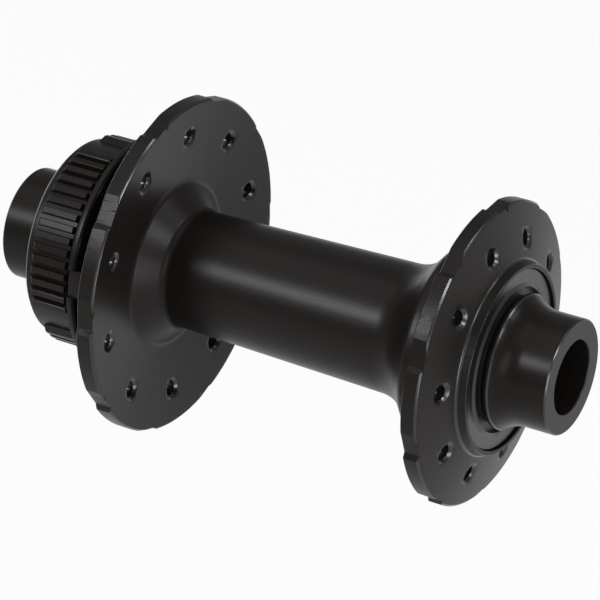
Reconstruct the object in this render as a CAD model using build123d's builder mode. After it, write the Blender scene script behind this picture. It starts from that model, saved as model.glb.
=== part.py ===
from build123d import *
from math import cos, pi, radians, sin, sqrt, tan
import os

# A bicycle front hub for a 12 mm thru axle: an alloy shell with two spoke flanges and
# a splined rotor mount turns on two rows of caged balls, round a fixed hollow axle.
# The axle lies along Y. +Y is the rotor side, +Z is up, and the origin is on the axis,
# half way between the two faces that the fork clamps. Sizes are in millimetres.

# Fit in the fork
over_locknut_width = 100.0
thru_axle_bore_r = 6.05
end_cap_r = 9.4
end_cap_lip = 3.0  # solid end of a cap, beyond the axle tube
left_cap_length = 11.5
cap_bore_chamfer = 0.15
cap_edge_chamfer = 0.2

# Clearances
slip_gap = 0.02  # radial, for what is clamped on the axle tube
press_gap = 0.01  # radial, for what is pressed into the shell
ball_gap = 0.05  # from a ball to its race
running_gap = 0.15  # between covers, cage and what turns past them
axle_end_gap = 0.1  # end play of the tube inside the caps
cut_over = 1.0  # how far a cut runs past the face that it opens

# Axle tube
axle_wall = 1.45
axle_chamfer = 0.4

# Bearings, from the ball plane outwards
ball_r = 1.9845  # 5/32 inch balls
ball_spacing = 1.1  # least room between balls, for the cage's fingers
ball_sides = 8
ball_latitudes = [-67.5, -22.5, 22.5, 67.5]
right_ball_setback = 17.41  # ball plane to the right clamped face
rotor_seat_to_balls = 3.61
cone_nose_wall = 1.15
cone_nose_length = 1.6
cone_flange_width = 1.3
cone_flange_thickness = 1.3
cup_wall = 0.87
cup_floor = 1.17
cup_lip_gap = 0.6  # from the cup's lip to the cone's nose
cage_rim = 0.35
cage_ring_start = 0.5
cage_finger_reach = 0.8
cage_finger_inward = 0.7
cage_finger_outward = 0.9
dust_cap_thickness = 0.7
dust_cap_rim = 0.5
dust_cap_gap = 1.0  # from the dust cap's hole to the cone
seal_thickness = 1.1
seal_body_width = 1.6
seal_lip_thickness = 0.3
seal_lip_gap = 0.3
cover_thickness = 0.7
cover_seat = 0.13  # how far the cover laps over the cone's flange
cover_collar = 0.6
cover_collar_length = 1.2
cover_lip_width = 0.63  # at its foot
cover_lip_top = 0.1
cover_lip_height = 0.3
cover_recess = 0.48  # depth of the right cover inside the shell's mouth
cover_back_gap = 1.2  # from the shell's inner ledge to the cover
lock_washer_width = 2.8
lock_washer_thickness = 1.0
spacer_step = 0.5  # how much the left spacer is slimmer than its cap

# Flare of the right end cap
flare_neck = 0.82
flare_height = 1.68
flare_edge = 0.54
flare_arc_r = 6.13

# Barrel of the shell
centre_gap = 0.8  # from the axle tube to the barrel's bore
barrel_wall = 1.47  # at the thin left end
barrel_swell = 1.02  # how much the right end is thicker
neck_angle = 48.0
neck_round = 1.5
neck_wall = 0.23  # from the left bearing bore to the crease of neck and flange
crease_round = 2.0
bell_angle = 50.0
bell_round = 7.9

# Left flange, on the rotor side
left_spoke_circle_r = 22.15
left_rim_margin = 5.95
left_rim_setback = 8.75  # rotor seat to the middle of the rim
left_rim_thickness = 2.87
left_web_slope = 0.13
left_housing_wall = 2.8
left_step_angle = 34.9
left_spoke_angle = 9.3

# Right flange
right_spoke_circle_r = 19.1
right_rim_margin = 5.75
right_rim_offset = 1.9  # ball plane to the middle of the rim
right_rim_thickness = 2.62
right_outer_slope = 0.2455
right_inner_slope = 0.17
right_housing_wall = 2.6
right_housing_reach = 4.45  # inboard of the ball plane
right_housing_round = 1.5
right_root_round = 1.2
right_mouth_step = 1.17
right_boss_wall = 0.7
right_boss_draft = 0.4  # how much wider the boss is at its root
right_boss_round = 1.25
right_step_angle = 16.5
right_spoke_angle = 26.8

# Both flanges
spoke_count = 10
spoke_hole_r = 1.25
rim_chamfer = 0.45
facet_angle = 10.0
facet_rise_angle = 2.0
facet_depth = 0.54
root_lap = 0.25  # how far what stands on a cylinder reaches into it

# Rotor mount
rotor_seat_setback = 19.39  # rotor seat to the left clamped face
lock_ring_step = 0.88  # from the bearing bore to the lock ring's thread
spline_wall = 2.12
spline_position_count = 54
spline_group_count = 3
missing_tooth_count = 3  # between two groups
spline_angle = 24.8
tooth_height = 1.05
tooth_tip_width = 1.12
tooth_root_width = 1.26
tooth_length = 6.23  # along the tip
tooth_run_out = 0.8  # how much longer a tooth is at its root
spline_pilot = 2.08  # plain end beyond the teeth's tips
pilot_chamfer = 0.5
undercut_depth = 0.89
undercut_length = 1.88
shoulder_step = 2.11
shoulder_thickness = 1.19
seat_relief = 0.2  # turned off the seat near the teeth
seat_relief_gap = 0.3
rib_angle = 170.5
rib_sweep = 13.5
rib_step = 0.5

# Radii, from the axle outwards
axle_r = thru_axle_bore_r + axle_wall
seat_r = axle_r + slip_gap
race_r = ball_r + ball_gap
race_flat = race_r * tan(radians(22.5))  # ball centre to each end of a 45 degree race
cone_nose_r = seat_r + cone_nose_wall
ball_circle_r = cone_nose_r + race_r
cone_flange_r = ball_circle_r + cone_flange_width
cup_bore_r = ball_circle_r + race_r
cup_r = cup_bore_r + cup_wall
bearing_bore_r = cup_r + press_gap
washer_r = axle_r + lock_washer_width
cover_bore_r = cone_flange_r - cover_seat
centre_bore_r = axle_r + centre_gap
lock_ring_bore_r = bearing_bore_r + lock_ring_step
right_mouth_r = bearing_bore_r + right_mouth_step
spline_root_r = lock_ring_bore_r + spline_wall
spline_tip_r = spline_root_r + tooth_height
shoulder_r = spline_tip_r + shoulder_step
left_flange_r = left_spoke_circle_r + left_rim_margin
right_flange_r = right_spoke_circle_r + right_rim_margin

# Steps of a bearing, measured outboard from its ball plane
cup_back = -race_r - cup_floor
cage_top = race_r + cage_rim
dust_cap_inner = cage_top + running_gap
dust_cap_outer = dust_cap_inner + dust_cap_thickness
seal_inner = dust_cap_outer + running_gap
cone_flange_inner = seal_inner + seal_thickness
cone_face = cone_flange_inner + cone_flange_thickness
washer_face = cone_face + lock_washer_thickness
cover_face = cone_face + cover_thickness
mouth_ledge = cone_face - cover_back_gap

# Places along the axle
half_width = over_locknut_width / 2
rotor_seat_y = half_width - rotor_seat_setback
left_ball_y = rotor_seat_y - rotor_seat_to_balls
right_ball_y = -half_width + right_ball_setback
left_rim_y = rotor_seat_y - left_rim_setback
right_rim_y = right_ball_y - right_rim_offset
axle_end_y = half_width - end_cap_lip - axle_end_gap
left_cap_y = half_width - left_cap_length

ball_count = int(2 * pi * ball_circle_r / (2 * ball_r + ball_spacing))

os.makedirs("parts", exist_ok=True)


def across(y):
    # A plane square to the axle at y. Its angles run from +X towards +Z.
    return Plane(origin=(0, y, 0), x_dir=(1, 0, 0), z_dir=(0, -1, 0))


def polar(radius, angle):
    return (radius * cos(radians(angle)), radius * sin(radians(angle)))


def outline(corners):
    # A closed outline from corners given as radius, place and rounding.
    places = [(corner[0], corner[1]) for corner in corners]
    FilletPolyline(*places, radius=[corner[2] for corner in corners], close=True)


# Each bearing is drawn on a plane whose Y points outboard from the ball plane
bearings = {
    "left": Plane(origin=(0, left_ball_y, 0), x_dir=(1, 0, 0), z_dir=(0, 0, 1)),
    "right": Plane(origin=(0, right_ball_y, 0), x_dir=(1, 0, 0), z_dir=(0, 0, -1)),
}
mouth_radii = {"left": lock_ring_bore_r, "right": right_mouth_r}


# Axle tube, hollow for the thru axle
with BuildPart() as axle_tube:
    with BuildSketch(Plane.XY):
        with BuildLine():
            Polyline(
                (thru_axle_bore_r, -axle_end_y),
                (axle_r - axle_chamfer, -axle_end_y),
                (axle_r, -axle_end_y + axle_chamfer),
                (axle_r, axle_end_y - axle_chamfer),
                (axle_r - axle_chamfer, axle_end_y),
                (thru_axle_bore_r, axle_end_y),
                close=True,
            )
        make_face()
    revolve(axis=Axis.Y)

axle_tube.part.label = "axle_tube"
export_step(axle_tube.part, "parts/axle_tube.step")


# Bearing cones, with a 45 degree race in their shoulder
for side, plane in bearings.items():
    with BuildPart() as bearing_cone:
        with BuildSketch(plane):
            with BuildLine():
                Polyline(
                    (ball_circle_r - race_flat, race_r),
                    (ball_circle_r, race_r),
                    (ball_circle_r, cone_flange_inner),
                    (cone_flange_r, cone_flange_inner),
                    (cone_flange_r, cone_face),
                    (seat_r, cone_face),
                    (seat_r, -cone_nose_length),
                    (cone_nose_r, -cone_nose_length),
                    (cone_nose_r, race_flat),
                    close=True,
                )
            make_face()
        revolve(axis=Axis.Y)

    bearing_cone.part.label = f"{side}_cone"
    export_step(bearing_cone.part, f"parts/{side}_cone.step")


# Bearing cups, pressed into the shell, with a 45 degree race in their corner
cup_lip_r = cone_nose_r + cup_lip_gap

for side, plane in bearings.items():
    with BuildPart() as bearing_cup:
        with BuildSketch(plane):
            with BuildLine():
                Polyline(
                    (ball_circle_r + race_flat, -race_r),
                    (cup_lip_r, -race_r),
                    (cup_lip_r, cup_back),
                    (cup_r, cup_back),
                    (cup_r, race_r),
                    (cup_bore_r, race_r),
                    (cup_bore_r, -race_flat),
                    close=True,
                )
            make_face()
        revolve(axis=Axis.Y)

    bearing_cup.part.label = f"{side}_bearing_cup"
    export_step(bearing_cup.part, f"parts/{side}_bearing_cup.step")


# Balls, one row for each bearing. They are many and hidden, so each has flats.
ball_corners = []
for latitude in ball_latitudes:
    for side_number in range(ball_sides):
        across_x, across_y = polar(ball_r * cos(radians(latitude)), 360 * side_number / ball_sides)
        ball_corners.append((across_x, across_y, ball_r * sin(radians(latitude))))

for side, plane in bearings.items():
    with BuildPart(across(plane.origin.Y)) as bearing_balls:
        with PolarLocations(ball_circle_r, ball_count):
            ConvexPolyhedron(ball_corners)

    bearing_balls.part.label = f"{side}_bearing_balls"
    export_step(bearing_balls.part, f"parts/{side}_bearing_balls.step")


# Ball cages: a rim outboard of the balls, with a pocket for each
for side, plane in bearings.items():
    with BuildPart() as ball_cage:
        with BuildSketch(plane):
            with BuildLine():
                Polyline(
                    (ball_circle_r + running_gap, cage_top),
                    (cup_bore_r - running_gap, cage_top),
                    (cup_bore_r - running_gap, cage_ring_start),
                    (ball_circle_r + cage_finger_outward, cage_ring_start),
                    (ball_circle_r + cage_finger_outward, -cage_finger_reach),
                    (ball_circle_r - cage_finger_inward, -cage_finger_reach),
                    (ball_circle_r - cage_finger_inward, cage_ring_start),
                    (ball_circle_r + running_gap, cage_ring_start),
                    close=True,
                )
            make_face()
        revolve(axis=Axis.Y)
        with BuildSketch(across(plane.origin.Y - plane.y_dir.Y * cage_finger_reach)):
            with PolarLocations(ball_circle_r, ball_count):
                RegularPolygon(race_r, ball_sides, major_radius=False)
        extrude(amount=-plane.y_dir.Y * (cage_finger_reach + race_r), mode=Mode.SUBTRACT)

    ball_cage.part.label = f"{side}_ball_cage"
    export_step(ball_cage.part, f"parts/{side}_ball_cage.step")


# Dust caps, pressed into the shell against the cups
dust_cap_r = bearing_bore_r - press_gap

for side, plane in bearings.items():
    with BuildPart() as dust_cap:
        with BuildSketch(plane):
            with BuildLine():
                Polyline(
                    (ball_circle_r + dust_cap_gap, dust_cap_inner),
                    (dust_cap_r - dust_cap_rim, dust_cap_inner),
                    (dust_cap_r - dust_cap_rim, race_r),
                    (dust_cap_r, race_r),
                    (dust_cap_r, dust_cap_outer),
                    (ball_circle_r + dust_cap_gap, dust_cap_outer),
                    close=True,
                )
            make_face()
        revolve(axis=Axis.Y)

    dust_cap.part.label = f"{side}_dust_cap"
    export_step(dust_cap.part, f"parts/{side}_dust_cap.step")


# Rubber seals on the cones, with a lip that reaches towards the shell
seal_bore_r = ball_circle_r + slip_gap
seal_lip_r = bearing_bore_r - seal_lip_gap
seal_middle = (seal_inner + cone_flange_inner) / 2

for side, plane in bearings.items():
    with BuildPart() as seal_ring:
        with BuildSketch(plane):
            with BuildLine():
                Polyline(
                    (seal_bore_r, seal_inner),
                    (seal_bore_r + seal_body_width, seal_inner),
                    (seal_lip_r, seal_middle - seal_lip_thickness / 2),
                    (seal_lip_r, seal_middle + seal_lip_thickness / 2),
                    (seal_bore_r + seal_body_width, cone_flange_inner),
                    (seal_bore_r, cone_flange_inner),
                    close=True,
                )
            make_face()
        revolve(axis=Axis.Y)

    seal_ring.part.label = f"{side}_seal_ring"
    export_step(seal_ring.part, f"parts/{side}_seal_ring.step")


# Dust covers, on the cones' flanges, that close the shell's mouths
collar_r = cone_flange_r + slip_gap
cover_lip_face = cover_face + cover_lip_height

for side, plane in bearings.items():
    cover_r = mouth_radii[side] - running_gap
    with BuildPart() as dust_cover:
        with BuildSketch(plane):
            with BuildLine():
                Polyline(
                    (cover_bore_r, cone_face),
                    (collar_r, cone_face),
                    (collar_r, cone_face - cover_collar_length),
                    (collar_r + cover_collar, cone_face - cover_collar_length),
                    (collar_r + cover_collar, cone_face),
                    (cover_r, cone_face),
                    (cover_r, cover_face),
                    (cover_bore_r + cover_lip_width, cover_face),
                    (cover_bore_r + cover_lip_top, cover_lip_face),
                    (cover_bore_r, cover_lip_face),
                    close=True,
                )
            make_face()
        revolve(axis=Axis.Y)

    dust_cover.part.label = f"{side}_dust_cover"
    export_step(dust_cover.part, f"parts/{side}_dust_cover.step")


# Lock washers, against the cones
for side, plane in bearings.items():
    with BuildPart() as lock_washer:
        with BuildSketch(across(plane.origin.Y)):
            Circle(washer_r)
            Circle(seat_r, mode=Mode.SUBTRACT)
        outboard = -plane.y_dir.Y
        extrude(amount=outboard * washer_face)
        with BuildSketch(across(plane.origin.Y)):
            Circle(washer_r)
        extrude(amount=outboard * cone_face, mode=Mode.SUBTRACT)

    lock_washer.part.label = f"{side}_lock_washer"
    export_step(lock_washer.part, f"parts/{side}_lock_washer.step")


# Spacer between the left lock washer and the left end cap
with BuildPart() as left_spacer:
    with BuildSketch(across(left_cap_y)):
        Circle(end_cap_r - spacer_step)
        Circle(seat_r, mode=Mode.SUBTRACT)
    extrude(amount=left_cap_y - left_ball_y - washer_face)

left_spacer.part.label = "left_spacer"
export_step(left_spacer.part, "parts/left_spacer.step")


# Left end cap, a plain tube with a solid lip
cap_step_y = half_width - end_cap_lip

with BuildPart() as left_end_cap:
    with BuildSketch(Plane.XY):
        with BuildLine():
            Polyline(
                (seat_r, left_cap_y),
                (end_cap_r, left_cap_y),
                (end_cap_r, half_width - cap_edge_chamfer),
                (end_cap_r - cap_edge_chamfer, half_width),
                (thru_axle_bore_r + cap_bore_chamfer, half_width),
                (thru_axle_bore_r, half_width - cap_bore_chamfer),
                (thru_axle_bore_r, cap_step_y),
                (seat_r, cap_step_y),
                close=True,
            )
        make_face()
    revolve(axis=Axis.Y)

left_end_cap.part.label = "left_end_cap"
export_step(left_end_cap.part, "parts/left_end_cap.step")


# Right end cap, whose inner end flares out over the dust cover
flare_r = end_cap_r + flare_height
flare_under = washer_face + flare_neck
flare_top = flare_under + flare_edge
flare_run = sqrt(flare_arc_r**2 - (flare_arc_r - flare_height) ** 2)

with BuildPart() as right_end_cap:
    with BuildSketch(bearings["right"]):
        with BuildLine():
            Polyline(
                (end_cap_r, flare_top + flare_run),
                (end_cap_r, right_ball_setback - cap_edge_chamfer),
                (end_cap_r - cap_edge_chamfer, right_ball_setback),
                (thru_axle_bore_r + cap_bore_chamfer, right_ball_setback),
                (thru_axle_bore_r, right_ball_setback - cap_bore_chamfer),
                (thru_axle_bore_r, right_ball_setback - end_cap_lip),
                (seat_r, right_ball_setback - end_cap_lip),
                (seat_r, washer_face),
                (washer_r, washer_face),
                (washer_r, flare_under),
                (flare_r, flare_under),
                (flare_r, flare_top),
            )
            RadiusArc((flare_r, flare_top), (end_cap_r, flare_top + flare_run), flare_arc_r)
        make_face()
    revolve(axis=Axis.Y)

right_end_cap.part.label = "right_end_cap"
export_step(right_end_cap.part, "parts/right_end_cap.step")


# Hub shell: the outline runs up the outside from the right mouth and back through the bores
left_inner_rim_y = left_rim_y - left_rim_thickness / 2
left_outer_rim_y = left_rim_y + left_rim_thickness / 2
right_inner_rim_y = right_rim_y + right_rim_thickness / 2
right_outer_rim_y = right_rim_y - right_rim_thickness / 2
right_face_y = right_ball_y - cover_face - cover_recess
right_housing_r = bearing_bore_r + right_housing_wall
right_boss_r = right_mouth_r + right_boss_wall
boss_root_r = right_boss_r + right_boss_draft
left_housing_r = bearing_bore_r + left_housing_wall
barrel_left_r = centre_bore_r + barrel_wall
barrel_right_r = barrel_left_r + barrel_swell
crease_r = bearing_bore_r + neck_wall
undercut_r = spline_root_r - undercut_depth
relief_r = spline_tip_r + seat_relief_gap
shoulder_back_y = rotor_seat_y - shoulder_thickness
tooth_start_y = rotor_seat_y + undercut_length
tooth_end_y = tooth_start_y + tooth_length
tooth_root_y = tooth_end_y + tooth_run_out
left_face_y = tooth_end_y + spline_pilot


def left_web(y, r):
    return y + left_web_slope * (left_flange_r - r)


def right_web(y, r, slope):
    return y - slope * (right_flange_r - r)


crease_y = left_web(left_inner_rim_y, crease_r)
neck_y = crease_y - (crease_r - barrel_left_r) / tan(radians(neck_angle))
housing_y = right_ball_y + right_housing_reach
bell_y = housing_y + (right_housing_r - barrel_right_r) / tan(radians(bell_angle))
left_sink_r = left_flange_r - rim_chamfer
right_sink_r = right_flange_r - rim_chamfer

shell_corners = [
    (right_mouth_r, right_face_y, 0),
    (right_boss_r, right_face_y, 0),
    (boss_root_r, right_web(right_outer_rim_y, boss_root_r, right_outer_slope), right_boss_round),
    (right_sink_r, right_web(right_outer_rim_y, right_sink_r, right_outer_slope), 0),
    (right_flange_r, right_outer_rim_y + rim_chamfer, 0),
    (right_flange_r, right_inner_rim_y, 0),
    (
        right_housing_r,
        right_web(right_inner_rim_y, right_housing_r, right_inner_slope),
        right_root_round,
    ),
    (right_housing_r, housing_y, right_housing_round),
    (barrel_right_r, bell_y, bell_round),
    (barrel_left_r, neck_y, neck_round),
    (crease_r, crease_y, crease_round),
    (left_sink_r, left_web(left_inner_rim_y, left_sink_r), 0),
    (left_flange_r, left_inner_rim_y + rim_chamfer, 0),
    (left_flange_r, left_outer_rim_y, 0),
    (left_housing_r, left_web(left_outer_rim_y, left_housing_r), 0),
    (left_housing_r, shoulder_back_y, 0),
    (shoulder_r, shoulder_back_y, 0),
    (shoulder_r, rotor_seat_y, 0),
    (relief_r, rotor_seat_y, 0),
    (relief_r, rotor_seat_y - seat_relief, 0),
    (undercut_r, rotor_seat_y - seat_relief, 0),
    (undercut_r, tooth_start_y, 0),
    (spline_tip_r, tooth_start_y, 0),
    (spline_tip_r, tooth_end_y, 0),
    (spline_root_r, tooth_root_y, 0),
    (spline_root_r, left_face_y - pilot_chamfer, 0),
    (spline_root_r - pilot_chamfer, left_face_y, 0),
    (lock_ring_bore_r + pilot_chamfer, left_face_y, 0),
    (lock_ring_bore_r, left_face_y - pilot_chamfer, 0),
    (lock_ring_bore_r, left_ball_y + mouth_ledge, 0),
    (bearing_bore_r, left_ball_y + mouth_ledge, 0),
    (bearing_bore_r, left_ball_y + cup_back, 0),
    (centre_bore_r, left_ball_y + cup_back, 0),
    (centre_bore_r, right_ball_y - cup_back, 0),
    (bearing_bore_r, right_ball_y - cup_back, 0),
    (bearing_bore_r, right_ball_y - mouth_ledge, 0),
    (right_mouth_r, right_ball_y - mouth_ledge, 0),
]

# Saw-tooth rim: ten shallow facets, each of which ends in a short step
facet_over = cut_over + facet_depth


def rim_facets(rim_r, step_angle):
    with PolarLocations(0, spoke_count, start_angle=step_angle):
        Polygon(
            polar(rim_r, -facet_angle - facet_rise_angle),
            polar(rim_r - facet_depth, -facet_rise_angle),
            polar(rim_r, 0),
            polar(rim_r + facet_over, 0),
            polar(rim_r + facet_over, -facet_angle - facet_rise_angle),
            align=None,
        )


# Spoke holes, parallel to the axle, through a web that starts at low_y
def spoke_holes(circle_r, start_angle, low_y, high_y):
    with Locations(across(low_y - cut_over)):
        with PolarLocations(circle_r, spoke_count, start_angle=start_angle):
            Hole(spoke_hole_r, high_y - low_y + 2 * cut_over)


rib_r = shoulder_r - rib_step
rib_root_r = left_housing_r - root_lap
wedge_reach = shoulder_r + cut_over
wedge_half = wedge_reach * tan(radians(rib_sweep / 2))
pitch = 360 / spline_position_count
group_teeth = spline_position_count // spline_group_count - missing_tooth_count
tooth_root_x = spline_root_r - root_lap

with BuildPart() as hub_shell:
    with BuildSketch(Plane.XY):
        with BuildLine():
            outline(shell_corners)
        make_face()
    revolve(axis=Axis.Y)

    # Facets of both rims
    with BuildSketch(across(left_outer_rim_y + cut_over)):
        rim_facets(left_flange_r, left_step_angle)
    extrude(amount=left_rim_thickness + 2 * cut_over, mode=Mode.SUBTRACT)
    with BuildSketch(across(right_inner_rim_y + cut_over)):
        rim_facets(right_flange_r, right_step_angle)
    extrude(amount=right_rim_thickness + 2 * cut_over, mode=Mode.SUBTRACT)

    # Three ribs bridge the groove behind the rotor seat, and notch its shoulder
    with BuildSketch(across(shoulder_back_y + shoulder_thickness / 2)):
        with PolarLocations(0, spline_group_count, start_angle=rib_angle):
            Polygon((0, 0), (wedge_reach, -wedge_half), (wedge_reach, wedge_half), align=None)
        Circle(rib_r, mode=Mode.INTERSECT)
        Circle(rib_root_r, mode=Mode.SUBTRACT)
    extrude(amount=shoulder_back_y + shoulder_thickness / 2 - left_outer_rim_y)
    with BuildSketch(across(rotor_seat_y)):
        with PolarLocations(0, spline_group_count, start_angle=rib_angle):
            Polygon((0, 0), (wedge_reach, -wedge_half), (wedge_reach, wedge_half), align=None)
        Circle(rib_r, mode=Mode.SUBTRACT)
    extrude(amount=shoulder_thickness, mode=Mode.SUBTRACT)

    # Gaps between the spline teeth, in three groups
    with BuildSketch(across(tooth_root_y)):
        Circle(spline_tip_r + cut_over)
        Circle(spline_root_r, mode=Mode.SUBTRACT)
        with PolarLocations(0, spline_group_count, start_angle=spline_angle):
            with PolarLocations(
                0,
                group_teeth,
                start_angle=-pitch * (group_teeth - 1) / 2,
                angular_range=pitch * group_teeth,
            ):
                Polygon(
                    (tooth_root_x, -tooth_root_width / 2),
                    (spline_tip_r, -tooth_tip_width / 2),
                    (spline_tip_r + cut_over, -tooth_tip_width / 2),
                    (spline_tip_r + cut_over, tooth_tip_width / 2),
                    (spline_tip_r, tooth_tip_width / 2),
                    (tooth_root_x, tooth_root_width / 2),
                    align=None,
                    mode=Mode.SUBTRACT,
                )
    extrude(amount=tooth_length + tooth_run_out, mode=Mode.SUBTRACT)

    spoke_holes(
        left_spoke_circle_r,
        left_spoke_angle,
        left_web(left_inner_rim_y, left_spoke_circle_r),
        left_web(left_outer_rim_y, left_spoke_circle_r),
    )
    spoke_holes(
        right_spoke_circle_r,
        right_spoke_angle,
        right_web(right_outer_rim_y, right_spoke_circle_r, right_outer_slope),
        right_web(right_inner_rim_y, right_spoke_circle_r, right_inner_slope),
    )

hub_shell.part.label = "hub_shell"
export_step(hub_shell.part, "parts/hub_shell.step")
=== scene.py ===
import math

import bmesh
import bpy
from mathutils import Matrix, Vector


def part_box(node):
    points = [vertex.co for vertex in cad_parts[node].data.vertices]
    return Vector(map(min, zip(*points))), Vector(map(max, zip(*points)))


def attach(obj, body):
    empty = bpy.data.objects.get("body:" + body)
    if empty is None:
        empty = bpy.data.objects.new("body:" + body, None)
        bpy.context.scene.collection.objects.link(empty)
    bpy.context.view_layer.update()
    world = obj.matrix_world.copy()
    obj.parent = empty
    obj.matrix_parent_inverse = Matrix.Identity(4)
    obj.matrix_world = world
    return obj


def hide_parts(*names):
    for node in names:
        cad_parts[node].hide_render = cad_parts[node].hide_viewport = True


# A bicycle front hub in satin black, on white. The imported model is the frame, and the pieces
# that show get finer edges, countersinks, a thread and their finishes here.
# The axle is the Y axis and angles run from +X towards +Z. Outlines are in millimetres.

mm = 0.001

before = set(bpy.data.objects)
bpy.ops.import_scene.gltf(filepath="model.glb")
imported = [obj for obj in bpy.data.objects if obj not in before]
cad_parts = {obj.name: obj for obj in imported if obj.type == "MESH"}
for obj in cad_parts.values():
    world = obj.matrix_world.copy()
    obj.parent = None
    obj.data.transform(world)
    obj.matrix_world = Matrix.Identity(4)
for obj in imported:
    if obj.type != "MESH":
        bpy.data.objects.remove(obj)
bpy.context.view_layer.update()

# Lowest and highest corner of each node of the frame, in mm
boxes = {name: [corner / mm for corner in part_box(name)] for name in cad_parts}


# Outlines and meshes

meshing = {
    "straight": 179.5,  # degrees from which a corner of an outline counts as none
    "shortest": 0.001,  # mm up to which a side counts as none
    "roundingShare": 0.98,  # of a side, at most
    "arcParts": ((0, 0), (0.6, 3), (4, 7), (100, 16)),  # for roundings up to so many mm
    "merge": 0.0005,  # mm within which vertices are joined
    "sharpAngle": 28,  # degrees from which an edge stays crisp
    "faceWeight": 80,  # how far large faces steer the shading; 50 is even
    "nearly": 0.01,  # mm or degrees within which two places are one
}


def onAxle(radius, angle, place):
    turn = math.radians(angle)
    return Vector((radius * math.cos(turn), place, radius * math.sin(turn))) * mm


def roundedOutline(corners):
    # Corners are (radius, place, rounding). A rounding of one size always gives the same number
    # of points, so that outlines of nearly the same shape can be joined side by side.
    spots = [Vector(corner[:2]) for corner in corners]
    count = len(spots)
    sides = [spots[(index + 1) % count] - spots[index] for index in range(count)]
    halves, reaches = [], []
    for index, corner in enumerate(corners):
        before, after = -sides[index - 1], sides[index]
        long = min(before.length, after.length) > meshing["shortest"]
        bent = long and before.angle(after) < math.radians(meshing["straight"])
        halves.append(before.angle(after) / 2 if bent else 0)
        reaches.append(corner[2] / math.tan(halves[index]) if bent else 0)
    points = []
    for index, here in enumerate(spots):
        rounding = corners[index][2]
        steps = next(parts for limit, parts in meshing["arcParts"] if rounding <= limit)
        if reaches[index] == 0:
            points.extend([here] * (steps + 1))
            continue
        before, after, half = -sides[index - 1], sides[index], halves[index]
        room = min(
            before.length / (reaches[index - 1] + reaches[index]),
            after.length / (reaches[index] + reaches[(index + 1) % count]),
        )
        reach = reaches[index] * min(1, meshing["roundingShare"] * room)
        inwards = (before.normalized() + after.normalized()).normalized()
        centre = here + inwards * reach / math.cos(half)
        start = here + before.normalized() * reach - centre
        end = here + after.normalized() * reach - centre
        sweep = math.atan2(start.cross(end), start.dot(end))
        for step in range(steps + 1):
            turn = sweep * step / steps
            points.append(centre + Vector((
                start.x * math.cos(turn) - start.y * math.sin(turn),
                start.x * math.sin(turn) + start.y * math.cos(turn),
            )))
    return points


def lathe(bm, outlineAt, angles):
    # One closed outline for each angle, joined side by side. Returns the grid of vertices.
    grid = [
        [bm.verts.new(onAxle(point.x, angle, point.y)) for point in outlineAt(angle)] for angle in angles
    ]
    rows = len(grid[0])
    for column, ring in enumerate(grid):
        following = grid[(column + 1) % len(grid)]
        for row in range(rows):
            other = (row + 1) % rows
            bm.faces.new((ring[row], ring[other], following[other], following[row]))
    return grid


def evenAngles(count):
    return [360 * step / count for step in range(count)]


def makePiece(name, bm, body, finishes, nodes, sharpAngle=meshing["sharpAngle"]):
    bmesh.ops.remove_doubles(bm, verts=bm.verts, dist=meshing["merge"] * mm)
    bmesh.ops.recalc_face_normals(bm, faces=bm.faces)
    limit = math.radians(sharpAngle)
    for face in bm.faces:
        face.smooth = True
    for edge in bm.edges:
        if edge.calc_face_angle(math.pi) > limit:
            edge.smooth = False
    mesh = bpy.data.meshes.new(name)
    bm.to_mesh(mesh)
    bm.free()
    for finish in finishes:
        mesh.materials.append(finish)
    piece = bpy.data.objects.new(name, mesh)
    bpy.context.scene.collection.objects.link(piece)
    weighted = piece.modifiers.new("evenShading", "WEIGHTED_NORMAL")
    weighted.keep_sharp = True
    weighted.weight = meshing["faceWeight"]
    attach(piece, body)
    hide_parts(*nodes)
    print("piece:", name, len(mesh.polygons), "faces")


# Materials

def toLinear(hexColour):
    # The numbers are those of the sRGB standard
    linear = []
    for start in (1, 3, 5):
        channel = int(hexColour[start:start + 2], 16) / 255
        linear.append(channel / 12.92 if channel <= 0.04045 else ((channel + 0.055) / 1.055) ** 2.4)
    return linear + [1.0]


def addNode(tree, kind, settings=None, links=None):
    node = tree.nodes.new(kind)
    for name, value in (settings or {}).items():
        if isinstance(name, int) or name in node.inputs:
            node.inputs[name].default_value = value
        else:
            setattr(node, name, value)
    for name, source in (links or {}).items():
        tree.links.new(source, node.inputs[name])
    return node


def newMaterial(name):
    material = bpy.data.materials.new(name)
    material.use_nodes = True
    material.node_tree.nodes.clear()
    return material, material.node_tree


def grainScale(size):
    # Scale of a noise texture whose grains are about this many mm across
    return 1 / (size * mm)


noiseSpread = (0.3, 0.7)  # between these lie nearly all values of a noise texture


def finishFrom(tree, look, patches, marks):
    # The end of every finish: patches shift its colour, and marks its roughness and its relief
    colour = addNode(
        tree, "ShaderNodeMix",
        {"data_type": "RGBA", 6: toLinear(look["colours"][0]), 7: toLinear(look["colours"][1])},
        {0: patches.outputs["Fac"]},
    )
    low, high = look["roughness"]
    least, most = noiseSpread
    dull = addNode(
        tree, "ShaderNodeMapRange",
        {"From Min": least, "From Max": most, "To Min": low, "To Max": high},
        {"Value": marks.outputs["Fac"]},
    )
    relief = addNode(
        tree, "ShaderNodeBump",
        {"Strength": 1.0, "Distance": look["relief"] * mm},
        {"Height": marks.outputs["Fac"]},
    )
    shader = addNode(
        tree, "ShaderNodeBsdfPrincipled",
        {"Metallic": look["metallic"], "Specular IOR Level": look["specular"]},
        {
            "Base Color": colour.outputs[2],
            "Roughness": dull.outputs["Result"],
            "Normal": relief.outputs["Normal"],
        },
    )
    addNode(tree, "ShaderNodeOutputMaterial", links={"Surface": shader.outputs["BSDF"]})


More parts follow.
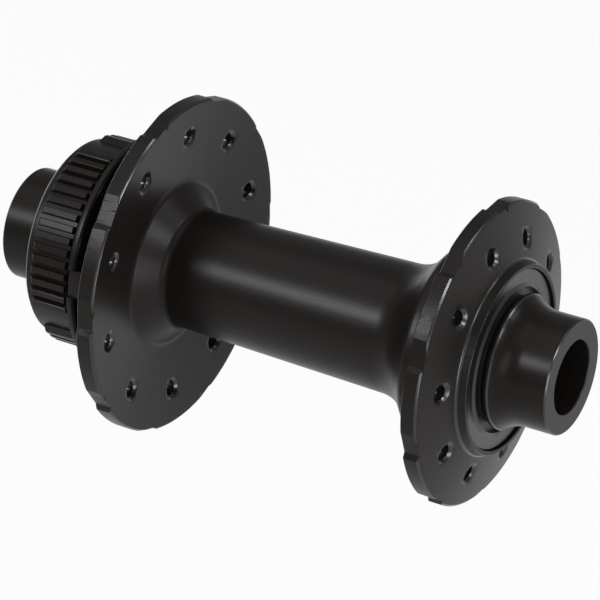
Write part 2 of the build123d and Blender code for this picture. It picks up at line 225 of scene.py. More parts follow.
# Anodised aluminium, blasted before it is dyed black: a matte skin that still takes a broad
# soft highlight, and goes a little warm where the dye is thin. Its hard, dyed oxide hides the
# metal, so it isn't metallic.
blasted = {
    "colours": ("#141211", "#1b1715"),
    "roughness": (0.3, 0.38),
    "grain": 0.22,  # mm; blast marks are about 0.06 mm, drawn coarser so that they show
    "relief": 0.003,  # mm
    "cloud": 9.0,  # mm across the patches of uneven dye
    "metallic": 0.0,
    "specular": 0.15,  # under the usual 0.5, matched to the object
}


# The same aluminium, milled or drilled after blasting: smoother, so that its edges glint.
milled = {
    "colours": ("#120f0e", "#171513"),
    "roughness": (0.2, 0.28),
    "grain": 0.15,  # mm; cutter marks are about 0.05 mm, drawn coarser so that they show
    "relief": 0.001,
    "cloud": 4.0,
    "metallic": 0.0,
    "specular": 0.55,
}


def blackAnodised(name, look):
    material, tree = newMaterial(name)
    place = addNode(tree, "ShaderNodeTexCoord")
    cloud = addNode(
        tree, "ShaderNodeTexNoise",
        {"Scale": grainScale(look["cloud"]), "Detail": 3.0},
        {"Vector": place.outputs["Object"]},
    )
    grain = addNode(
        tree, "ShaderNodeTexNoise",
        {"Scale": grainScale(look["grain"]), "Detail": 2.0, "Roughness": 0.6},
        {"Vector": place.outputs["Object"]},
    )
    finishFrom(tree, look, cloud, grain)
    return material


# Anodised aluminium, turned before it is dyed: fine rings round the axle that stretch a
# highlight across them.
turned = {
    "colours": ("#13110f", "#1a1614"),
    "roughness": (0.26, 0.34),
    "feed": 0.12,  # mm from ring to ring; the tool's real feed is about half that
    "relief": 0.0012,
    "cloud": 5.0,
    "metallic": 0.0,
    "specular": 0.13,
}


def turnedAnodised(name, look):
    material, tree = newMaterial(name)
    place = addNode(tree, "ShaderNodeTexCoord")
    # Distance from the axle and place along it make one number, which changes across every ring
    parts = addNode(tree, "ShaderNodeSeparateXYZ", links={0: place.outputs["Object"]})
    flat = addNode(
        tree, "ShaderNodeCombineXYZ",
        links={"X": parts.outputs["X"], "Y": parts.outputs["Z"]},
    )
    reach = addNode(tree, "ShaderNodeVectorMath", {"operation": "LENGTH"}, {0: flat.outputs[0]})
    along = addNode(
        tree, "ShaderNodeMath", {"operation": "ADD"},
        {0: reach.outputs["Value"], 1: parts.outputs["Y"]},
    )
    rings = addNode(tree, "ShaderNodeCombineXYZ", links={"X": along.outputs[0]})
    marks = addNode(
        tree, "ShaderNodeTexNoise",
        {"Scale": grainScale(look["feed"]), "Detail": 1.0},
        {"Vector": rings.outputs[0]},
    )
    cloud = addNode(
        tree, "ShaderNodeTexNoise",
        {"Scale": grainScale(look["cloud"]), "Detail": 3.0},
        {"Vector": place.outputs["Object"]},
    )
    finishFrom(tree, look, cloud, marks)
    return material


# The plainer finishes of the covers and of what lies inside. Grain and relief are in mm.
insideFinishes = {
    # Bearing steel, ground and polished: bright, with the faintest haze
    "bearingSteelGround": {
        "colours": ("#b9bcc0", "#9fa3a8"),
        "metallic": 1.0,
        "roughness": (0.14, 0.24),
        "grain": 0.3,
        "relief": 0.0006,
        "specular": 0.5,
    },
    # Spring steel, pressed: bright but uneven, with soft ripples from the die
    "springSteelPressed": {
        "colours": ("#a4a7aa", "#85888c"),
        "metallic": 1.0,
        "roughness": (0.24, 0.38),
        "grain": 0.9,
        "relief": 0.004,
        "specular": 0.5,
    },
    # Steel, blackened in hot oil: dark grey with a slight sheen. On the cones it is painted shade: ground
    # cones are bright, and this darkens the groove between dust cover and end cap.
    "steelBlackenedAndPaintedShade": {
        "colours": ("#1b1b1c", "#262627"),
        "metallic": 0.0,
        "roughness": (0.36, 0.5),
        "grain": 0.6,
        "relief": 0.003,
        "specular": 0.5,
    },
    # Nylon, moulded: black and satin, with a fine speckle
    "nylonMoulded": {
        "colours": ("#0e0e0e", "#151515"),
        "metallic": 0.0,
        "roughness": (0.26, 0.38),
        "grain": 0.35,
        "relief": 0.003,
        "specular": 0.5,
    },
    # Nitrile rubber, moulded: the blackest and dullest of all
    "nitrileRubberMoulded": {
        "colours": ("#131313", "#1b1b1b"),
        "metallic": 0.0,
        "roughness": (0.62, 0.78),
        "grain": 0.5,
        "relief": 0.008,
        "specular": 0.5,
    },
}


def insideFinish(name, look):
    material, tree = newMaterial(name)
    place = addNode(tree, "ShaderNodeTexCoord")
    grain = addNode(
        tree, "ShaderNodeTexNoise",
        {"Scale": grainScale(look["grain"]), "Detail": 3.0, "Roughness": 0.55},
        {"Vector": place.outputs["Object"]},
    )
    finishFrom(tree, look, grain, grain)
    return material


shellFinish = blackAnodised("anodisedAluminiumBlasted", blasted)
milledFinish = blackAnodised("anodisedAluminiumMilled", milled)
capFinish = turnedAnodised("anodisedAluminiumTurned", turned)
inside = {name: insideFinish(name, look) for name, look in insideFinishes.items()}
print("materials:", len(bpy.data.materials))


# Hub shell: one outline for each angle, because the rims, the rotor shoulder and the teeth
# change as they go round

rightFace, leftFace = (corner.y for corner in boxes["hub_shell"])
leftFlange = boxes["hub_shell"][1].z
rightBall = sum(corner.y for corner in boxes["right_bearing_balls"]) / 2
leftBall = sum(corner.y for corner in boxes["left_bearing_balls"]) / 2

shell = {
    # Right end
    "mouth": 14.79,
    "boss": 15.49,
    "bossRoot": 15.89,
    "bossRound": 0.5,
    # Right flange
    "rightFlange": 24.85,
    "rightRimOffset": 1.9,  # from the ball plane to the middle of the rim
    "rightRimThickness": 2.62,
    "rightSlopes": (0.17, 0.2455),  # inner and outer web
    "rightHousing": 16.22,
    "housingReach": 4.45,
    "housingRound": 1.5,
    # Barrel
    "barrel": (10.79, 9.77),  # at its right and its left end
    "bellAngle": 50.0,
    "bellRound": 7.9,
    "neckAngle": 48.0,
    "neckRound": 2.0,
    "crease": 13.85,
    "creaseRound": 1.6,
    # Left flange
    "leftRimSetback": 8.75,  # from the rotor seat to the middle of the rim
    "leftRimThickness": 2.87,
    "leftSlope": 0.13,
    "leftHousing": 16.42,
    "rootRound": 1.0,
    # Both rims
    "rimChamfer": 0.32,
    "facetSweep": (10.0, 2.0),  # degrees down the flat, and back up its step
    "facetDepth": 0.54,
    "stepAngles": {"left": 34.9, "right": 16.5},  # of the top of a step
    "rimBand": 1.1,  # depth of the rim that its facets reach
    # Rotor mount, in from the left face
    "pilot": 2.08,
    "toothLength": 6.23,
    "undercutLength": 1.88,
    "shoulderThickness": 1.19,
    "shoulder": 19.78,
    "shoulderChamfer": 0.35,
    "relief": (17.97, 0.2),  # radius and depth of what is turned off the rotor seat
    "undercut": 15.73,
    "root": 16.62,
    "pilotChamfer": 0.5,
    # Bores
    "lockRingBore": 14.5,
    "bearingBore": 13.62,
    "ledgeReach": 4.58,  # from a ball plane out to its ledge
    "seatReach": 3.2,  # and in to the cup's seat
    "centreBore": 8.3,
    "edge": 0.1,  # small rounding on turned edges
    "softEdge": 0.2,  # on forged and blasted edges
    # Mesh and finish
    "columnStep": 1.4,  # degrees from one column of faces to the next
    "columnSlack": 0.2,  # how many steps a column may be wider
    "milledLean": (0.3, 0.93),  # how far normals of chamfers lean along the axle, up to 1
}

rotorSeat = leftFace - shell["pilot"] - shell["toothLength"] - shell["undercutLength"]
toothStart = rotorSeat + shell["undercutLength"]
toothEnd = toothStart + shell["toothLength"]
leftMiddle = rotorSeat - shell["leftRimSetback"]
rightMiddle = rightBall - shell["rightRimOffset"]
leftRim = [leftMiddle + side * shell["leftRimThickness"] / 2 for side in (-1, 1)]
rightRim = [rightMiddle - side * shell["rightRimThickness"] / 2 for side in (-1, 1)]

spokes = {
    "count": 10,
    "left": (22.15, 9.3),  # radius of the circle, and angle of the first hole
    "right": (19.1, 26.8),
    "hole": 1.25,
    "sink": 1.72,
    "sinkEdge": 0.1,
    "room": 2.02,  # half the patch of web round a hole
    "rows": (-1.0, -0.6, -0.2, 0.2, 0.6, 1.0),  # of that patch
}

ribs = {
    "count": 3,
    "first": 170.5,  # angle of the first rib's middle
    "sweep": 13.5,  # degrees from end to end
    "radius": 19.28,
    "wall": 0.03,  # degrees over which an end rises
}

teeth = {
    "pitch": 360 / 54,  # as if 54 teeth went all the way round
    "groups": 3,
    "inGroup": 15,
    "firstGroup": 24.8,  # angle of a group's middle
    "tip": 17.67,
    "tipWidth": 1.12,
    "rootWidth": 1.26,
    "runOut": 0.8,  # how much longer a tooth is at its root
    "edge": 0.1,
}

thread = {
    "pitch": 1.0,
    "depth": 0.42,
    "start": 0.8,  # in from the left face
    "length": 5.8,
    "rows": 6,  # of faces for each turn
}


def chordRadius(angle, firstAngle, firstRadius, lastAngle, lastRadius):
    # Radius at an angle on the straight line between two points
    first, here, last = (math.radians(value) for value in (firstAngle, angle, lastAngle))
    return firstRadius * lastRadius * math.sin(last - first) / (
        firstRadius * math.sin(here - first) + lastRadius * math.sin(last - here)
    )


def rimRadius(angle, rim, stepAngle):
    # Saw-tooth rim: round, then a flat that falls away, then a short step back up
    flat, rise = shell["facetSweep"]
    back = (stepAngle - angle) % (360 / spokes["count"])
    low = rim - shell["facetDepth"]
    if back < rise:
        return chordRadius(-back, -rise, low, 0, rim)
    if back < rise + flat:
        return chordRadius(-back, -rise - flat, rim, -rise, low)
    return rim


def halfAngle(halfWidth, radius):
    return math.degrees(math.asin(halfWidth / radius))


# A tooth's flank, from its root to its tip, as angles from its middle and radii
flank = [
    (halfAngle(teeth["rootWidth"] / 2, shell["root"]), shell["root"]),
    (halfAngle(teeth["tipWidth"] / 2, teeth["tip"]), teeth["tip"] - teeth["edge"]),
    (halfAngle(teeth["tipWidth"] / 2 - teeth["edge"], teeth["tip"]), teeth["tip"]),
]


def toothRadius(angle):
    turn = 360 / teeth["groups"]
    away = (angle - teeth["firstGroup"] + turn / 2) % turn - turn / 2
    last = teeth["inGroup"] // 2
    nearest = max(-last, min(last, round(away / teeth["pitch"])))
    away = abs(away - nearest * teeth["pitch"])
    for (wide, low), (narrow, high) in zip(flank, flank[1:]):
        if away >= wide:
            return low
        if away > narrow:
            return low + (high - low) * (wide - away) / (wide - narrow)
    return teeth["tip"]


def inRib(angle):
    turn = 360 / ribs["count"]
    away = (angle - ribs["first"] + turn / 2) % turn - turn / 2
    # The limit lies between the rib's last column and the next, clear of rounding errors
    return abs(away) <= ribs["sweep"] / 2 + ribs["wall"] / 3


def leftWeb(radius, side):
    # Place of the left web: side 0 faces the barrel, side 1 the rotor
    return leftRim[side] + shell["leftSlope"] * (leftFlange - radius)


def rightWeb(radius, side):
    # Place of the right web: side 0 faces the barrel, side 1 the end
    return rightRim[side] - shell["rightSlopes"][side] * (shell["rightFlange"] - radius)


def webRows(circle, web, side, outwards):
    # Rows across the patch of a spoke hole
    reaches = [circle + share * spokes["room"] for share in spokes["rows"]]
    rows = [(reach, web(reach, side), 0) for reach in reaches]
    return rows if outwards else rows[::-1]


def rimRows(rim, web, chamferSide, rimNow):
    # Rows over a rim, from the web with its chamfer to the other web
    plainSide = 1 - chamferSide
    inwards = 1 if web(rim, plainSide) > web(rim, chamferSide) else -1
    foot = rim - shell["rimBand"]
    top = min(rimNow, rim - shell["rimChamfer"])
    return [
        (foot, web(foot, chamferSide), 0),
        (top, web(top, chamferSide), shell["edge"]),
        (rimNow, web(top, chamferSide) + inwards * (rimNow - top), shell["edge"]),
        (rimNow, web(rimNow, plainSide), shell["softEdge"]),
        (foot, web(foot, plainSide), 0),
    ]


def threadRows(angle):
    # The thread's depth follows place and angle together. Each end runs out over half a pitch.
    steps = round(thread["length"] / thread["pitch"] * thread["rows"])
    rows = []
    for step in range(steps + 1):
        place = leftFace - thread["start"] - thread["length"] * step / steps
        along = (place / thread["pitch"] - angle / 360) % 1
        # A quarter of the pitch is crest, and a quarter is root
        rise = min(1, max(0, 1.5 - abs(along - 0.5) * 4))
        fade = min(1, step / thread["rows"] * 2, (steps - step) / thread["rows"] * 2)
        rows.append((shell["lockRingBore"] + thread["depth"] * rise * fade, place, 0))
    return rows


def shellOutline(angle):
    leftNow = rimRadius(angle, leftFlange, shell["stepAngles"]["left"])
    rightNow = rimRadius(angle, shell["rightFlange"], shell["stepAngles"]["right"])
    toothNow = toothRadius(angle)
    grooveNow, shoulderNow = shell["leftHousing"], shell["shoulder"]
    if inRib(angle):
        grooveNow = shoulderNow = ribs["radius"]
    barrelRight, barrelLeft = shell["barrel"]
    housingEnd = rightBall + shell["housingReach"]
    bellLength = (shell["rightHousing"] - barrelRight) / math.tan(math.radians(shell["bellAngle"]))
    bellEnd = housingEnd + bellLength
    creasePlace = leftWeb(shell["crease"], 0)
    neckLength = (shell["crease"] - barrelLeft) / math.tan(math.radians(shell["neckAngle"]))
    neckPlace = creasePlace - neckLength
    shoulderBack = rotorSeat - shell["shoulderThickness"]
    shoulderTop = max(grooveNow, shoulderNow - shell["shoulderChamfer"])
    reliefRadius, reliefDepth = shell["relief"]
    return roundedOutline([
        (shell["mouth"], rightFace, shell["edge"]),
        (shell["boss"], rightFace, shell["edge"]),
        (shell["bossRoot"], rightWeb(shell["bossRoot"], 1), shell["bossRound"]),
        *webRows(spokes["right"][0], rightWeb, 1, True),
        *rimRows(shell["rightFlange"], rightWeb, 1, rightNow),
        *webRows(spokes["right"][0], rightWeb, 0, False),
        (shell["rightHousing"], rightWeb(shell["rightHousing"], 0), shell["rootRound"]),
        (shell["rightHousing"], housingEnd, shell["housingRound"]),
        (barrelRight, bellEnd, shell["bellRound"]),
        (barrelLeft, neckPlace, shell["neckRound"]),
        (shell["crease"], creasePlace, shell["creaseRound"]),
        *webRows(spokes["left"][0], leftWeb, 0, True),
        *rimRows(leftFlange, leftWeb, 0, leftNow),
        *webRows(spokes["left"][0], leftWeb, 1, False),
        (grooveNow, leftWeb(grooveNow, 1), shell["rootRound"]),
        (grooveNow, shoulderBack, shell["softEdge"]),
        (shoulderTop, shoulderBack, shell["edge"]),
        (shoulderNow, shoulderBack + shoulderNow - shoulderTop, shell["edge"]),
        (shoulderNow, rotorSeat, shell["edge"]),
        (reliefRadius, rotorSeat, 0),
        (reliefRadius, rotorSeat - reliefDepth, 0),
        (shell["undercut"], rotorSeat - reliefDepth, shell["softEdge"]),
        (shell["undercut"], toothStart, shell["softEdge"]),
        (toothNow, toothStart, shell["edge"]),
        (toothNow, toothEnd, shell["edge"]),
        (shell["root"], toothEnd + teeth["runOut"], 0),
        (shell["root"], leftFace - shell["pilotChamfer"], shell["edge"]),
        (shell["root"] - shell["pilotChamfer"], leftFace, shell["edge"]),
        (shell["lockRingBore"] + shell["pilotChamfer"], leftFace, shell["edge"]),
        (shell["lockRingBore"], leftFace - shell["pilotChamfer"], 0),
        *threadRows(angle),
        (shell["lockRingBore"], leftBall + shell["ledgeReach"], 0),
        (shell["bearingBore"], leftBall + shell["ledgeReach"], 0),
        (shell["bearingBore"], leftBall - shell["seatReach"], 0),
        (shell["centreBore"], leftBall - shell["seatReach"], 0),
        (shell["centreBore"], rightBall + shell["seatReach"], 0),
        (shell["bearingBore"], rightBall + shell["seatReach"], 0),
        (shell["bearingBore"], rightBall - shell["ledgeReach"], 0),
        (shell["mouth"], rightBall - shell["ledgeReach"], 0),
    ])


def facetAngles(side):
    # Where the facets of a rim start, turn and end
    flat, rise = shell["facetSweep"]
    step = shell["stepAngles"][side]
    steps = [step + turn for turn in evenAngles(spokes["count"])]
    return [(turn - back) % 360 for turn in steps for back in (0, rise, rise + flat)]


def shellAngles():
    # Every angle where something starts or ends, with even steps between
    special = facetAngles("left") + facetAngles("right")
    for circle, first in (spokes["left"], spokes["right"]):
        half = halfAngle(spokes["room"], circle)
        for turn in evenAngles(spokes["count"]):
            special += [first + turn - half, first + turn + half]
    ribEnds = (ribs["sweep"] / 2, ribs["sweep"] / 2 + ribs["wall"])
    for turn in evenAngles(ribs["count"]):
        middle = ribs["first"] + turn
        special += [middle + side * away for side in (-1, 1) for away in ribEnds]
    last = teeth["inGroup"] // 2
    for turn in evenAngles(teeth["groups"]):
        for number in range(-last, last + 1):
            middle = teeth["firstGroup"] + turn + number * teeth["pitch"]
            special += [middle + side * away for side in (-1, 1) for away, radius in flank]
    special = sorted({round(angle % 360, 3) for angle in special})
    angles = []
    for start, end in zip(special, special[1:] + [special[0] + 360]):
        parts = max(1, math.ceil((end - start) / shell["columnStep"] - shell["columnSlack"]))
        angles += [start + (end - start) * part / parts for part in range(parts)]
    return angles


def axleReach(spot):
    # Distance from the axle in mm, of a place in metres
    return math.hypot(spot.x, spot.z) / mm


def sharpenFacets(bm, grid, angles, side, rim):
    # The edges across a rim stay crisp where its facets start, turn and end
    breaks = {round(angle, 3) for angle in facetAngles(side)}
    for column, angle in zip(grid, angles):
        if round(angle, 3) not in breaks:
            continue
        for low, high in zip(column, column[1:]):
            onSide = (low.co.y > 0) == (side == "left")
            onRim = min(axleReach(low.co), axleReach(high.co)) > rim - shell["rimBand"] + meshing["nearly"]
            edge = bm.edges.get((low, high))
            if edge and onSide and onRim:
                edge.smooth = False


def cutPatch(bm, grid, columns, web, side, circle):
    # Takes away the patch of a spoke hole, and returns the vertices round it
    first = grid[columns[0]]
    rows = [
        row for row, vert in enumerate(first)
        if abs(axleReach(vert.co) - circle) <= spokes["room"] + meshing["nearly"]
        and abs(vert.co.y / mm - web(axleReach(vert.co), side)) < meshing["nearly"]
    ]
    rows.sort(key=lambda row: axleReach(first[row].co))
    border = [grid[column][rows[0]] for column in columns]
    border += [grid[columns[-1]][row] for row in rows[1:]]
    border += [grid[column][rows[-1]] for column in reversed(columns[:-1])]
    border += [first[row] for row in reversed(rows[1:-1])]
    patch = [grid[column][row] for column in columns for row in rows]
    around = dict.fromkeys(face for vert in patch for face in vert.link_faces)
    within = [face for face in around if set(patch).issuperset(face.verts)]
    bmesh.ops.delete(bm, geom=within, context="FACES_ONLY")
    for vert in patch:
        if vert not in border:
            bm.verts.remove(vert)
    return border


def spokeHole(bm, grid, angles, circle, middle, web):
    # Swaps a patch of both sides of a web for a drilled hole with a countersink at each end
    half = halfAngle(spokes["room"], circle) + meshing["nearly"]

    def away(index):
        return (angles[index] - middle + 180) % 360 - 180

    columns = sorted((index for index in range(len(angles)) if abs(away(index)) <= half), key=away)
    borders = [cutPatch(bm, grid, columns, web, side, circle) for side in (0, 1)]
    centre = onAxle(circle, middle, 0) / mm
    turns = [math.atan2(vert.co.z / mm - centre.z, vert.co.x / mm - centre.x) for vert in borders[0]]
    inwards = 1 if web(circle, 1) > web(circle, 0) else -1
    # A countersink of nearly 45 degrees, with its edge broken, as radii and depths
    sink = [
        (spokes["sink"] + spokes["sinkEdge"], 0),
        (spokes["sink"], spokes["sinkEdge"] / 2),
        (spokes["hole"], spokes["sink"] - spokes["hole"]),
    ]
    rings = [borders[0]]
    for side, steps in ((0, sink), (1, sink[::-1])):
        for wide, deep in steps:
            ring = []
            for turn in turns:
                x, z = centre.x + wide * math.cos(turn), centre.z + wide * math.sin(turn)
                place = web(math.hypot(x, z), side) + inwards * deep * (1 - 2 * side)
                ring.append(bm.verts.new(Vector((x, place, z)) * mm))
            rings.append(ring)
    rings.append(borders[1])
    for number, (ring, following) in enumerate(zip(rings, rings[1:])):
        for index in range(len(ring)):
            other = (index + 1) % len(ring)
            face = bm.faces.new((ring[index], ring[other], following[other], following[index]))
            # The flat strips round both ends keep the finish of the web
            face.material_index = 1 if 0 < number < len(rings) - 2 else 0


def finishFaces(bm):
    # The chamfers of the rims, and the foot and the edges of the right boss, are cut after
    # blasting, like the holes, so they shine more than the webs
    bm.normal_update()
    least, most = shell["milledLean"]
    bossEnd = shell["bossRoot"] + shell["bossRound"]
    for face in bm.faces:
        centre = face.calc_center_median()
        radius = axleReach(centre)
        rim = leftFlange if centre.y > 0 else shell["rightFlange"]
        onRim = radius > rim - shell["facetDepth"] - shell["rimChamfer"]
        onBoss = centre.y / mm < rightRim[1] and shell["mouth"] < radius < bossEnd
        if (onRim or onBoss) and least < abs(face.normal.y) < most:
            face.material_index = 1


shellMesh = bmesh.new()
angles = shellAngles()
grid = lathe(shellMesh, shellOutline, angles)
sharpenFacets(shellMesh, grid, angles, "left", leftFlange)
sharpenFacets(shellMesh, grid, angles, "right", shell["rightFlange"])
for side, web in (("left", leftWeb), ("right", rightWeb)):
    circle, first = spokes[side]
    for turn in evenAngles(spokes["count"]):
        spokeHole(shellMesh, grid, angles, circle, first + turn, web)
finishFaces(shellMesh)
makePiece("hubShell", shellMesh, "hub_shell", [shellFinish, milledFinish], ["hub_shell"])


# End caps, turned

caps = {
    "bore": 6.05,
    "seat": 7.52,
    "lip": 3.0,  # depth of the bore's narrow end
    "chamfer": 0.2,
    "boreChamfer": 0.15,
    "edge": 0.06,
    "washer": 10.3,
    "washerFoot": 0.1,  # rounding between the washer and the flare
    "flareNeck": 0.82,  # from the washer's face to the flare
    "flareEdge": 0.54,
    "flareRound": 0.12,
    "flareArc": 6.13,  # radius of the flare's hollow side
    "arcSteps": 14,
    "milledBand": 0.25,  # how deep the finer finish of the edges goes
    "columns": 192,  # faces round the axle
}

capRadius = boxes["left_end_cap"][1].z
flareRadius = boxes["right_end_cap"][1].z


def capEnd(face, side):
    # From a cap's outside over its end face into the bore
    return [
        (capRadius, face - side * caps["chamfer"], caps["edge"]),
        (capRadius - caps["chamfer"], face, caps["edge"]),
        (caps["bore"] + caps["boreChamfer"], face, caps["edge"]),
        (caps["bore"], face - side * caps["boreChamfer"], caps["edge"]),
        (caps["bore"], face - side * caps["lip"], 0),
        (caps["seat"], face - side * caps["lip"], 0),
    ]


def leftCapOutline(angle):
    start, face = (corner.y for corner in boxes["left_end_cap"])
    return roundedOutline([(caps["seat"], start, 0), (capRadius, start, caps["edge"]), *capEnd(face, 1)])


def rightCapOutline(angle):
    face, start = (corner.y for corner in boxes["right_end_cap"])
    flareUnder = start - caps["flareNeck"]
    flareTop = flareUnder - caps["flareEdge"]
    sweep = math.acos(1 - (flareRadius - capRadius) / caps["flareArc"])
    hollow = []
    for step in range(1, caps["arcSteps"] + 1):
        # From the flare's edge down to the tube
        turn = sweep * (1 - step / caps["arcSteps"])
        place = flareTop - caps["flareArc"] * (math.sin(sweep) - math.sin(turn))
        hollow.append((capRadius + caps["flareArc"] * (1 - math.cos(turn)), place, 0))
    return roundedOutline([
        (caps["seat"], start, 0),
        (caps["washer"], start, 0),
        (caps["washer"], flareUnder, caps["washerFoot"]),
        (flareRadius, flareUnder, caps["flareRound"]),
        (flareRadius, flareTop, caps["flareRound"]),
        *hollow,
        *capEnd(face, -1),
    ])


for name, outlineAt, node in (
    ("leftEndCap", leftCapOutline, "left_end_cap"),
    ("rightEndCap", rightCapOutline, "right_end_cap"),
):
    capMesh = bmesh.new()
    lathe(capMesh, outlineAt, evenAngles(caps["columns"]))
    end = max(abs(corner.y) for corner in boxes[node])
    for face in capMesh.faces:
        # The cap's outer chamfer and the edge of the flare are cut last, with a finer tool
        centre = face.calc_center_median()
        radius = axleReach(centre)
        onChamfer = max(end - abs(centre.y) / mm, capRadius - radius) < caps["milledBand"]
        if onChamfer or radius > flareRadius - caps["milledBand"]:
            face.material_index = 1
    makePiece(name, capMesh, "axle", [capFinish, milledFinish], [node])


# Dust covers, with a raised lip round the cap and a collar that grips the cone

covers = {
    "bore": 11.87,
    "cone": 12.02,
    "collar": 0.6,
    "collarDepth": 1.2,
    "lipWidth": (0.63, 0.1),  # at its foot and its top
    "lipHeight": 0.3,
    "thickness": 0.7,
    "edge": 0.12,
    "lipEdge": 0.04,
    "columns": 168,  # faces round the axle
}


def coverOutline(node, side):
    low, high = boxes[node]
    radius, top = high.z, high.y if side > 0 else low.y
    front = top - side * covers["lipHeight"]
    back = front - side * covers["thickness"]
    foot, crest = covers["lipWidth"]
    return roundedOutline([
        (covers["bore"], back, 0),
        (covers["cone"], back, 0),
        (covers["cone"], back - side * covers["collarDepth"], 0),
        (covers["cone"] + covers["collar"], back - side * covers["collarDepth"], 0),
        (covers["cone"] + covers["collar"], back, 0),
        (radius, back, covers["edge"]),
        (radius, front, covers["edge"]),
        (covers["bore"] + foot, front, covers["edge"]),
        (covers["bore"] + crest, top, covers["lipEdge"]),
        (covers["bore"], top, covers["lipEdge"]),
    ])


for name, node, side in (
    ("leftDustCover", "left_dust_cover", 1),
    ("rightDustCover", "right_dust_cover", -1),
):
    coverMesh = bmesh.new()
    lathe(coverMesh, lambda angle: coverOutline(node, side), evenAngles(covers["columns"]))
    makePiece(name, coverMesh, "axle", [inside["nylonMoulded"]], [node])


# Balls, round ones in place of the frame's, which have flats

balls = {
    "count": 13,
    "subdivisions": 3,
    "sharpAngle": 60,  # above the angle between a ball's faces, so that all of it is smooth
}

for name, node, body in (
    ("leftBalls", "left_bearing_balls", "left_cage"),
    ("rightBalls", "right_bearing_balls", "right_cage"),
):
    low, high = boxes[node]
    radius = (high.y - low.y) / 2
    ballMesh = bmesh.new()
    for angle in evenAngles(balls["count"]):
        centre = onAxle(high.x - radius, angle, low.y + radius)
        made = bmesh.ops.create_icosphere(ballMesh, subdivisions=balls["subdivisions"], radius=radius * mm)
        bmesh.ops.translate(ballMesh, verts=made["verts"], vec=centre)
    steel = inside["bearingSteelGround"]
    makePiece(name, ballMesh, body, [steel], [node], balls["sharpAngle"])


# The frame's own nodes that stay get their finish

nodeFinishes = {
    "axle_tube": capFinish,
    "left_spacer": capFinish,
    # The cones take the dark steel as painted shade for the groove round the end caps, not as their own
    # colour
    "left_cone": inside["steelBlackenedAndPaintedShade"],
    "right_cone": inside["steelBlackenedAndPaintedShade"],
    "left_bearing_cup": inside["bearingSteelGround"],
    "right_bearing_cup": inside["bearingSteelGround"],
    "left_ball_cage": inside["springSteelPressed"],
    "right_ball_cage": inside["springSteelPressed"],
    "left_dust_cap": inside["springSteelPressed"],
    "right_dust_cap": inside["springSteelPressed"],
    "left_lock_washer": inside["steelBlackenedAndPaintedShade"],
    "right_lock_washer": inside["steelBlackenedAndPaintedShade"],
    "left_seal_ring": inside["nitrileRubberMoulded"],
    "right_seal_ring": inside["nitrileRubberMoulded"],
}

for node, finish in nodeFinishes.items():
    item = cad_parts[node]
    if not item.material_slots:
        item.data.materials.append(None)
    for materialSlot in item.material_slots:
        materialSlot.material = finish
print("finishes on", len(nodeFinishes), "nodes of the frame")


# Floor, world, lamps and camera

stage = {
    "floorDepth": 0.34,  # metres below the axle, as with a wheel built round the hub
    "floorSize": 12.0,
    "floorColour": "#f4f4f4",
    "seenWhite": 0.92,  # how much of the floor that is seen is plain white
    "worldColour": "#ffffff",
    "worldStrength": 0.3,
}

# Uncoated white paper: no shine at all. What the camera, a reflection or a glass sees of it
# is nearly all white, and the rest of it takes the shadow.
floorFinish, tree = newMaterial("paperMatte")
matte = addNode(tree, "ShaderNodeBsdfDiffuse", {"Color": toLinear(stage["floorColour"])})
glow = addNode(tree, "ShaderNodeEmission", {"Strength": 1.0})
path = addNode(tree, "ShaderNodeLightPath")
seenOrMirrored = addNode(
    tree, "ShaderNodeMath", {"operation": "MAXIMUM"},
    {0: path.outputs["Is Camera Ray"], 1: path.outputs["Is Glossy Ray"]},
)
seen = addNode(
    tree, "ShaderNodeMath", {"operation": "MAXIMUM"},
    {0: seenOrMirrored.outputs[0], 1: path.outputs["Is Transmission Ray"]},
)
share = addNode(
    tree, "ShaderNodeMath", {"operation": "MULTIPLY", 1: stage["seenWhite"]},
    {0: seen.outputs[0]},
)
blend = addNode(
    tree, "ShaderNodeMixShader", links={0: share.outputs[0], 1: matte.outputs[0], 2: glow.outputs[0]}
)
addNode(tree, "ShaderNodeOutputMaterial", links={"Surface": blend.outputs[0]})

floorMesh = bpy.data.meshes.new("floor")
reach, depth = stage["floorSize"] / 2, -stage["floorDepth"]
floorMesh.from_pydata(
    [(-reach, -reach, depth), (reach, -reach, depth), (reach, reach, depth), (-reach, reach, depth)],
    [], [(0, 1, 2, 3)],
)
floorMesh.materials.append(floorFinish)
floor = bpy.data.objects.new("floor", floorMesh)
bpy.context.scene.collection.objects.link(floor)

world = bpy.data.worlds.new("studio")
bpy.context.scene.world = world
world.use_nodes = True
world.node_tree.nodes.clear()
sky = addNode(
    world.node_tree, "ShaderNodeBackground",
    {"Color": toLinear(stage["worldColour"]), "Strength": stage["worldStrength"]},
)
addNode(world.node_tree, "ShaderNodeOutputWorld", links={"Surface": sky.outputs[0]})

view = {
    "azimuth": -59.848,
    "elevation": 29.804,
    "distance": 0.58555,  # metres
    "aim": (0, -0.000544, 0),
    "sensor": 36,  # mm, as is the focal length
    "focal": 218.47,
    "shift": (0.0069, -0.0036),
    "clip": (0.01, 100),
}

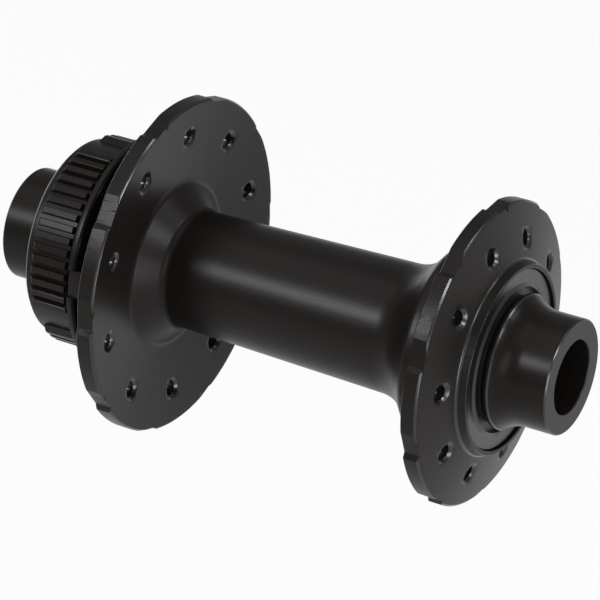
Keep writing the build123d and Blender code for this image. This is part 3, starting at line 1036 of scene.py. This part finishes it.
azimuth, elevation = math.radians(view["azimuth"]), math.radians(view["elevation"])
back = Vector((
    math.sin(azimuth) * math.cos(elevation), -math.cos(azimuth) * math.cos(elevation), math.sin(elevation)
))
cameraData = bpy.data.cameras.new("camera")
cameraData.lens = view["focal"]
cameraData.sensor_width = view["sensor"]
cameraData.shift_x, cameraData.shift_y = view["shift"]
cameraData.clip_start, cameraData.clip_end = view["clip"]
camera = bpy.data.objects.new("camera", cameraData)
camera.location = Vector(view["aim"]) + back * view["distance"]
camera.rotation_mode = "QUATERNION"
camera.rotation_quaternion = (-back).to_track_quat("-Z", "Y")
bpy.context.scene.collection.objects.link(camera)
bpy.context.scene.camera = camera

# Soft boxes. Each stands in a direction given by how far right, up and towards the camera.
# Distances and sizes are in metres, and powers in watts.
lamps = {
    "keyBox": {"from": (-0.71, 0.31, 0.63), "distance": 0.8, "size": (0.2, 0.2), "power": 3.2},
    "rightBox": {"from": (0.66, -0.42, 0.62), "distance": 0.8, "size": (0.2, 0.3), "power": 1.9},
    "frontBox": {"from": (0.74, 0.20, 0.64), "distance": 0.8, "size": (0.16, 0.16), "power": 1.6},
    "sideBox": {"from": (0.73, 0.61, 0.32), "distance": 0.8, "size": (0.16, 0.16), "power": 0.8},
    "cameraBox": {"from": (-0.06, -0.13, 0.99), "distance": 0.9, "size": (0.3, 0.6), "power": 1.4},
    "topBox": {"from": (-0.25, 0.85, 0.45), "distance": 0.8, "size": (0.8, 0.8), "power": 1.7},
    "backBox": {"from": (-0.60, 0.35, -0.72), "distance": 1.0, "size": (0.8, 0.8), "power": 1.7},
}

rightward = (-back).cross(Vector((0, 0, 1))).normalized()
upward = rightward.cross(-back)
for name, lamp in lamps.items():
    data = bpy.data.lights.new(name, "AREA")
    data.shape = "RECTANGLE"
    data.size, data.size_y = lamp["size"]
    data.energy = lamp["power"]
    box = bpy.data.objects.new(name, data)
    across, up, near = lamp["from"]
    direction = (rightward * across + upward * up + back * near).normalized()
    box.location = direction * lamp["distance"]
    box.rotation_mode = "QUATERNION"
    box.rotation_quaternion = (-direction).to_track_quat("-Z", "Y")
    bpy.context.scene.collection.objects.link(box)

bpy.context.scene.view_settings.view_transform = "Standard"
print("stage: floor, world,", len(lamps), "lamps and camera")
